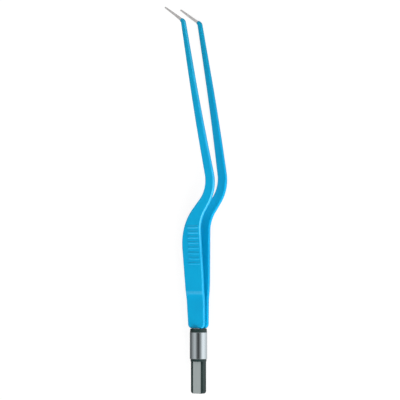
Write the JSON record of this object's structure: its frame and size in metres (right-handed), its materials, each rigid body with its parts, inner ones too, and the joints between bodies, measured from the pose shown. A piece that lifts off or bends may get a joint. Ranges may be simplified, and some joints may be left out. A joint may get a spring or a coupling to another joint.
{
  "type": "bipolar forceps",
  "caption": "Bayonet tweezers with two insulated spring blades, bare angled tips and a flat two-contact plug behind a metal barrel.",
  "frame": {"origin": "on the barrel's axis, at the barrel's rear face, where a cable socket stops", "axes": "+Y along the barrel towards the tips, +X the way the bayonet step goes, +Z the way the upper arm opens; the forceps lies on its side"},
  "size_m": [0.0331, 0.2188, 0.0184],
  "materials": {
    "steel": "satin, bare at the tips",
    "blue_coating": "smooth half-gloss insulation",
    "chrome": "polished",
    "black_plastic": "moulded, lightly satin",
    "contact_metal": "plain satin plate",
    "rivet_brass": "plain"
  },
  "bodies": {
    "plug": {"barrel": "chrome", "front_collar": "black_plastic", "plug_body": "black_plastic", "upper_contact": "contact_metal", "lower_contact": "contact_metal", "upper_rivet": "rivet_brass", "lower_rivet": "rivet_brass"},
    "upper_arm": {"upper_blade": "steel", "upper_coating": "blue_coating"},
    "lower_arm": {"lower_blade": "steel", "lower_coating": "blue_coating"}
  },
  "joints": [
    {"name": "upper_arm_squeeze", "type": "hinge", "parent": "plug", "child": "upper_arm", "pos_m": [0, 0.0122, 0.00158], "axis": [-1, 0, 0], "range_deg": [0, 2.2], "stiffness_Nm_per_rad": 3},
    {"name": "lower_arm_squeeze", "type": "hinge", "parent": "plug", "child": "lower_arm", "pos_m": [0, 0.0122, -0.00158], "axis": [1, 0, 0], "range_deg": [0, 2.2], "stiffness_Nm_per_rad": 3}
  ]
}
